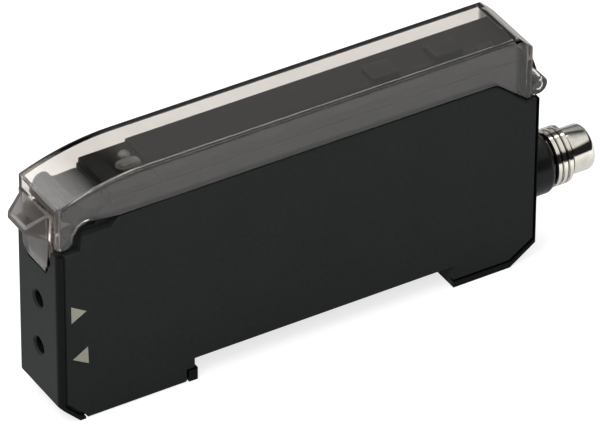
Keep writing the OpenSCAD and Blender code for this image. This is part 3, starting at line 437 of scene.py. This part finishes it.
def paint_port_and_rim_shade(mat, colour):
    """Paints shade into the two fibre ports and a dark reflection onto the rounded rim beside the cover."""
    tree = mat.node_tree
    base = tree.nodes["Principled BSDF"].inputs["Base Color"]
    place = axes(tree, object_coords(tree))
    mask = remap(tree, place["Y"], NEAR_Y + RIM_DARK, NEAR_Y + RIM_CLEAR, 1.0, 0.0)
    mouth = math_node(tree, "LESS_THAN", place["X"], FRONT_X + PORT_DEPTH)
    for port in PORTS:
        rise = math_node(tree, "SUBTRACT", place["Z"], port["pos_m"][2])
        reach = port["dims"]["r_mm"] * MM + PORT_EDGE
        inside = math_node(tree, "LESS_THAN", squares(tree, place["Y"], rise), reach * reach)
        mask = math_node(tree, "MAXIMUM", mask, math_node(tree, "MULTIPLY", inside, mouth))
    plain = base.links[0].from_socket
    feed(tree, mix_colour(tree, mask, plain, (*colour, 1)), base)


add_smoke(LID, SMOKE_COLOUR, SMOKE_DENSITY)
# Painted shade in the fibre ports and a painted dark reflection on the rim beside the cover
paint_port_and_rim_shade(HOUSING, PAINTED_SHADE_COLOUR)

FINISH = {
    "frame": HOUSING, "side_cover": COVER, "lid": LID, "hinge_pin": PIN, "deck": DECK, "clamp_lever": DECK,
    "clamp_axle": PIN, "clamp_slide": GRIP, "clamp_spring": STEEL, "fibre_block": CHIP, "emitter": EMITTER,
    "receiver": RECEIVER, "main_board": BOARD, "board_chips": CHIP, "key_board": BOARD, "board_header": CHIP,
    "tact_switches": STEEL, "indicator_leds": LENS, "set_button": KEY, "mode_button": KEY, "power_lens": LAMP,
    "output_lens": LAMP, "set_lens": WINDOW, "mode_lens": WINDOW, "plug_boss": BOSS, "plug_nut": STEEL,
    "plug_seal": SEAL, "plug_shell": NICKEL, "pin_carrier": BOSS, "contact_pins": CONTACT, "rail_latch": DECK,
    "latch_spring": STEEL,
}
for name, mat in FINISH.items():
    mesh = frame["nodes"][name].data
    mesh.materials.clear()
    mesh.materials.append(mat)


# Making pieces

MERGE_DISTANCE = 2e-7
# Faces this flat to each other are one face, and edges this sharp are broken
FLAT_ANGLE = math.radians(0.6)
BROKEN_ANGLE = math.radians(28)
# Edges sharper than this stay sharp in the shading of turned pieces and of coils
TURNED_SHARP = math.radians(32)
COIL_SHARP = math.radians(50)


def piece(name, mesh, mat, body):
    obj = bpy.data.objects.new(name, mesh)
    scene.collection.objects.link(obj)
    mesh.materials.clear()
    mesh.materials.append(mat)
    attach(obj, body)
    return obj


def frozen(obj, name):
    """The evaluated mesh of obj as a plain mesh; obj itself is removed."""
    graph = bpy.context.evaluated_depsgraph_get()
    evaluated = obj.evaluated_get(graph)
    mesh = bpy.data.meshes.new_from_object(evaluated, preserve_all_data_layers=True, depsgraph=graph)
    mesh.name = name
    bpy.data.objects.remove(obj)
    return mesh


def joined_copy(source, flatten=False):
    """A smooth-shaded copy of a solid's mesh with its triangles joined, and its flat faces too if asked."""
    mesh = frame["nodes"][source].data.copy()
    bm = bmesh.new()
    bm.from_mesh(mesh)
    bmesh.ops.remove_doubles(bm, verts=bm.verts, dist=MERGE_DISTANCE)
    if flatten:
        bmesh.ops.dissolve_limit(bm, angle_limit=FLAT_ANGLE, verts=bm.verts, edges=bm.edges)
    for face in bm.faces:
        face.smooth = True
    bm.to_mesh(mesh)
    bm.free()
    return mesh


def softened(source, name, body, slot, width, segments):
    """A copy of a solid with its sharp edges broken, which stands for that solid."""
    work = bpy.data.objects.new("work", joined_copy(source, flatten=True))
    scene.collection.objects.link(work)
    bevel = work.modifiers.new("bevel", "BEVEL")
    bevel.width = width * MM
    bevel.segments = segments
    bevel.limit_method = "ANGLE"
    bevel.angle_limit = BROKEN_ANGLE
    bevel.miter_outer = "MITER_ARC"
    weighted = work.modifiers.new("weighted", "WEIGHTED_NORMAL")
    weighted.keep_sharp = True
    weighted.weight = 100
    made = piece(name, frozen(work, name), FINISH[source], body)
    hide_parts(source)


# Solid, piece, body, slot, width of the broken edge in millimetres and the segments across it
SOFTENED = (
    ("side_cover", "cover_plate", "body", "cover", 0.06, 2),
    ("frame", "housing_tub", "body", "housing", 0.09, 2),
    ("lid", "flip_lid", "lid", "clear_lid", 0.16, 3),
    ("deck", "control_deck", "body", "deck", 0.07, 2),
    ("clamp_lever", "clamp_thumb_lever", "lever", "deck", 0.06, 2),
    ("set_button", "set_key_cap", "set_key", "key", 0.22, 3),
    ("mode_button", "mode_key_cap", "mode_key", "key", 0.22, 3),
    ("rail_latch", "rail_latch_nose", "latch", "deck", 0.08, 2),
)
for row in SOFTENED:
    softened(*row)


def sprung(source, name):
    """A smooth-shaded copy of a coil with its own mesh, in place of the coil's solid."""
    mesh = joined_copy(source)
    mesh.set_sharp_from_angle(angle=COIL_SHARP)
    made = piece(name, mesh, FINISH[source], "body")
    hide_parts(source)
    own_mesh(made)


sprung("clamp_spring", "clamp_coil")
sprung("latch_spring", "latch_coil")


# Plug: turned sleeve with its thread cut as one helical ridge

LATHE_STEPS = 96
THREAD_CHAMFER = 0.12 * MM
# The sleeve's rounded nose: distance before its end, and how much smaller its radius is there
NOSE = ((0.55, 0.0), (0.2, 0.12), (0.04, 0.28), (0.0, 0.38))
SOCKET_CHAMFER = 0.1 * MM
HELIX_STEPS = 72
RIDGE_SIDES = 6
# Half a side's angle, which turns a flat of the ridge outwards as its crest
RIDGE_TURN = math.radians(180 / RIDGE_SIDES)
RIDGE_W = 0.5 * MM
# The ridge starts this far into the thread, and its run is this much shorter than the thread
RIDGE_LEAD = 0.3 * MM
RIDGE_SHORT = 0.55 * MM


def lathe(name, outline):
    """A closed ring round the plug's axis from (x, radius) points in order."""
    bm = bmesh.new()
    rings = []
    for i in range(LATHE_STEPS):
        turn = 2 * math.pi * i / LATHE_STEPS
        rings.append([bm.verts.new((x, r * math.cos(turn), PLUG_Z + r * math.sin(turn))) for x, r in outline])
    count = len(outline)
    for i, ring in enumerate(rings):
        following = rings[(i + 1) % LATHE_STEPS]
        for j in range(count):
            k = (j + 1) % count
            bm.faces.new((ring[j], following[j], following[k], ring[k]))
    bmesh.ops.recalc_face_normals(bm, faces=bm.faces)
    for face in bm.faces:
        face.smooth = True
    mesh = bpy.data.meshes.new(name)
    bm.to_mesh(mesh)
    bm.free()
    mesh.set_sharp_from_angle(angle=TURNED_SHARP)
    return mesh


def make_shell():
    start, end = SHELL_LOW.x, SHELL_HIGH.x
    outline = [
        (start, SOCKET_R), (start, SPIGOT_R), (THREAD_START, SPIGOT_R), (THREAD_START, THREAD_ROOT_R),
        (THREAD_END - THREAD_CHAMFER, THREAD_ROOT_R), (THREAD_END, THREAD_ROOT_R - THREAD_CHAMFER),
        (THREAD_END + THREAD_CHAMFER, SLEEVE_R),
        *((end - before * MM, SLEEVE_R - less * MM) for before, less in NOSE),
        (end, SOCKET_R + SOCKET_CHAMFER), (end - SOCKET_CHAMFER, SOCKET_R),
    ]
    made = piece("plug_sleeve", lathe("plug_sleeve", outline), NICKEL, "body")
    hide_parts("plug_shell")


def thread_tree():
    """A ridge swept along a helix, with its radius, pitch, length and section as named inputs."""
    tree = bpy.data.node_groups.new("thread_ridge", "GeometryNodeTree")
    for label in ("Root Radius", "Pitch", "Turns", "Crest Height", "Crest Width"):
        tree.interface.new_socket(name=label, in_out="INPUT", socket_type=NUMBER)
    tree.interface.new_socket(name="Finish", in_out="INPUT", socket_type="NodeSocketMaterial")
    tree.interface.new_socket(name="Geometry", in_out="OUTPUT", socket_type="NodeSocketGeometry")
    given = node(tree, "NodeGroupInput").outputs
    out = node(tree, "NodeGroupOutput").inputs
    helix = node(tree, "GeometryNodeCurveSpiral")
    feed(tree, HELIX_STEPS, helix.inputs["Resolution"])
    feed(tree, given["Turns"], helix.inputs["Rotations"])
    feed(tree, given["Root Radius"], helix.inputs["Start Radius"])
    feed(tree, given["Root Radius"], helix.inputs["End Radius"])
    feed(tree, math_node(tree, "MULTIPLY", given["Turns"], given["Pitch"]), helix.inputs["Height"])
    upright = node(tree, "GeometryNodeSetCurveNormal", mode="Z_UP")
    feed(tree, helix.outputs["Curve"], upright.inputs["Curve"])
    section = node(tree, "GeometryNodeCurvePrimitiveCircle")
    feed(tree, RIDGE_SIDES, section.inputs["Resolution"])
    feed(tree, 1.0, section.inputs["Radius"])
    flat = node(tree, "GeometryNodeTransform")
    feed(tree, (0, 0, RIDGE_TURN), flat.inputs["Rotation"])
    feed(tree, section.outputs["Curve"], flat.inputs["Geometry"])
    size = node(tree, "ShaderNodeCombineXYZ")
    feed(tree, given["Crest Height"], size.inputs["X"])
    feed(tree, given["Crest Width"], size.inputs["Y"])
    feed(tree, 1.0, size.inputs["Z"])
    shape = node(tree, "GeometryNodeTransform")
    feed(tree, size.outputs[0], shape.inputs["Scale"])
    feed(tree, flat.outputs["Geometry"], shape.inputs["Geometry"])
    sweep = node(tree, "GeometryNodeCurveToMesh")
    feed(tree, True, sweep.inputs["Fill Caps"])
    feed(tree, upright.outputs["Curve"], sweep.inputs["Curve"])
    feed(tree, shape.outputs["Geometry"], sweep.inputs["Profile Curve"])
    real = node(tree, "GeometryNodeRealizeInstances")
    feed(tree, sweep.outputs["Mesh"], real.inputs["Geometry"])
    coat = node(tree, "GeometryNodeSetMaterial")
    feed(tree, real.outputs["Geometry"], coat.inputs["Geometry"])
    feed(tree, given["Finish"], coat.inputs["Material"])
    feed(tree, coat.outputs["Geometry"], out["Geometry"])
    return tree


def grown(tree, values, name):
    """The plain mesh that a Geometry Nodes tree makes from the given inputs."""
    work = bpy.data.objects.new("work", bpy.data.meshes.new("work"))
    scene.collection.objects.link(work)
    mod = work.modifiers.new("tree", "NODES")
    mod.node_group = tree
    sockets = {item.name: item.identifier for item in tree.interface.items_tree
               if item.item_type == "SOCKET" and item.in_out == "INPUT"}
    for label, value in values.items():
        mod[sockets[label]] = value
    return frozen(work, name)


def make_thread():
    mesh = grown(thread_tree(), {
        "Root Radius": THREAD_ROOT_R, "Pitch": THREAD_PITCH,
        "Turns": (THREAD_END - THREAD_START - RIDGE_SHORT) / THREAD_PITCH,
        "Crest Height": (THREAD_R - THREAD_ROOT_R) / math.cos(RIDGE_TURN), "Crest Width": RIDGE_W,
        "Finish": NICKEL,
    }, "plug_thread")
    along_plug = Matrix.Rotation(math.radians(90), 4, "Y")
    mesh.transform(Matrix.Translation((THREAD_START + RIDGE_LEAD, 0, PLUG_Z)) @ along_plug)
    for face in mesh.polygons:
        face.use_smooth = True
    mesh.set_sharp_from_angle(angle=TURNED_SHARP)
    piece("plug_thread", mesh, NICKEL, "body")


make_shell()
make_thread()


# Printed arrow marks beside the fibre ports: (x, z) corners in millimetres from the front face and the feet

PRINT_PROUD = 0.015 * MM
PRINT_SUNK = PRINT_PROUD / 2
ARROW_IN = ((1.83, 18.41), (1.85, 15.81), (4.02, 17.03))
ARROW_OUT = ((4.15, 11.36), (4.23, 8.71), (1.95, 10.06))


def printed_mark(name, corners):
    """A thin printed patch on the near side."""
    bm = bmesh.new()
    low = [bm.verts.new((FRONT_X + x * MM, NEAR_Y + PRINT_SUNK, z * MM)) for x, z in corners]
    high = [bm.verts.new((v.co.x, NEAR_Y - PRINT_PROUD, v.co.z)) for v in low]
    bm.faces.new(low)
    bm.faces.new(list(reversed(high)))
    for i in range(len(low)):
        j = (i + 1) % len(low)
        bm.faces.new((low[i], low[j], high[j], high[i]))
    bmesh.ops.recalc_face_normals(bm, faces=bm.faces)
    mesh = bpy.data.meshes.new(name)
    bm.to_mesh(mesh)
    bm.free()
    piece(name, mesh, PRINT, "body")


printed_mark("arrow_in", ARROW_IN)
printed_mark("arrow_out", ARROW_OUT)


# Floor, light and background

# Brightness of the studio by height: a dark room behind the camera, a grey wall at the back, light overhead
FRONT_ROOM = ((0.0, 0.3), (0.02, 0.3), (0.06, 0.02), (0.52, 0.02), (0.64, 1.0), (1.0, 1.0))
BACK_WALL = ((0.0, 0.2), (0.25, 0.2), (0.4, 0.45), (0.605, 0.46),
             (0.645, 0.06), (0.73, 0.08), (0.82, 0.4), (0.93, 0.95))
# Directions along y over which the front room gives way to the back wall
BACK_BLEND = (-0.1, 0.3)
# A soft light high at the back, which the curved front of the lid mirrors
BACK_LIGHT_AIM = (-0.25, 0.69, 0.68)
BACK_LIGHT_EDGE = (0.93, 0.995)
BACK_LIGHT = 4.0
# Two soft lamps: name, place and size
LAMPS = (("key_lamp", (-0.5, -0.35, 0.75), (0.5, 0.5)), ("top_lamp", (0.1, 0.25, 0.9), (0.7, 0.5)))
LAMP_TARGET = (0, 0, 0.02)
LAMP_POWER = 4.0
FLOOR_HALF = 8.0
FLOOR_Z = -0.02 * MM
FLOOR_COLOUR = (0.4, 0.4, 0.4, 1)
FLOOR_LIFT = 0.75
# In mirror rays the floor is pale in front of the object and dim behind it
MIRROR_REACH = (-0.05, 0.02)
MIRROR_SHARE = (1.0, 0.12)


def seen_directly(tree):
    """How much a ray shows the floor itself: camera and see-through rays in full, mirror rays by place."""
    path = node(tree, "ShaderNodeLightPath").outputs
    share = remap(tree, axes(tree, object_coords(tree))["Y"], *MIRROR_REACH, *MIRROR_SHARE)
    mirror = math_node(tree, "MULTIPLY", path["Is Glossy Ray"], share)
    some = math_node(tree, "MAXIMUM", path["Is Camera Ray"], mirror)
    return math_node(tree, "MAXIMUM", some, path["Is Transmission Ray"])


def make_floor():
    mesh = bpy.data.meshes.new("floor")
    corners = [(x * FLOOR_HALF, y * FLOOR_HALF, FLOOR_Z) for x, y in ((-1, -1), (1, -1), (1, 1), (-1, 1))]
    mesh.from_pydata(corners, [], [(0, 1, 2, 3)])
    floor = bpy.data.objects.new("floor", mesh)
    scene.collection.objects.link(floor)
    mat = bpy.data.materials.new("pale_floor")
    mat.use_nodes = True
    tree = mat.node_tree
    tree.nodes.clear()
    diffuse = node(tree, "ShaderNodeBsdfDiffuse")
    diffuse.inputs["Color"].default_value = FLOOR_COLOUR
    lift = node(tree, "ShaderNodeEmission")
    feed(tree, math_node(tree, "MULTIPLY", seen_directly(tree), FLOOR_LIFT), lift.inputs["Strength"])
    both = node(tree, "ShaderNodeAddShader")
    feed(tree, diffuse.outputs[0], both.inputs[0])
    feed(tree, lift.outputs[0], both.inputs[1])
    feed(tree, both.outputs[0], node(tree, "ShaderNodeOutputMaterial").inputs["Surface"])
    mesh.materials.append(mat)


def light_ramp(tree, height, steps):
    """Brightness by height from (height, brightness) steps; a new ramp already has two stops."""
    ramp = node(tree, "ShaderNodeValToRGB")
    stops = ramp.color_ramp.elements
    ready = len(stops)
    for i, (place, light) in enumerate(steps):
        stop = stops[i] if i < ready else stops.new(place)
        stop.position = place
        stop.color = (light, light, light, 1)
    feed(tree, height, ramp.inputs["Fac"])
    return ramp.outputs["Color"]


def make_world():
    world = bpy.data.worlds.new("studio")
    world.use_nodes = True
    tree = world.node_tree
    tree.nodes.clear()
    direction = node(tree, "ShaderNodeTexCoord").outputs["Generated"]
    way = axes(tree, direction)
    front = light_ramp(tree, way["Z"], FRONT_ROOM)
    back = light_ramp(tree, way["Z"], BACK_WALL)
    room = mix_colour(tree, remap(tree, way["Y"], *BACK_BLEND), front, back)
    facing = node(tree, "ShaderNodeVectorMath", operation="DOT_PRODUCT")
    feed(tree, direction, facing.inputs[0])
    feed(tree, BACK_LIGHT_AIM, facing.inputs[1])
    glow = remap(tree, facing.outputs["Value"], *BACK_LIGHT_EDGE, 0.0, BACK_LIGHT)
    sky = node(tree, "ShaderNodeBackground")
    sky.inputs["Color"].default_value = (1, 1, 1, 1)
    feed(tree, math_node(tree, "ADD", room, glow), sky.inputs["Strength"])
    feed(tree, sky.outputs[0], node(tree, "ShaderNodeOutputWorld").inputs["Surface"])
    scene.world = world


def make_lamp(name, spot, size):
    data = bpy.data.lights.new(name, "AREA")
    data.shape = "RECTANGLE"
    data.size, data.size_y = size
    data.energy = LAMP_POWER
    obj = bpy.data.objects.new(name, data)
    scene.collection.objects.link(obj)
    obj.location = spot
    obj.rotation_euler = (Vector(LAMP_TARGET) - Vector(spot)).to_track_quat("-Z", "Y").to_euler()


make_floor()
make_world()
for lamp in LAMPS:
    make_lamp(*lamp)

scene.view_settings.view_transform = "Standard"
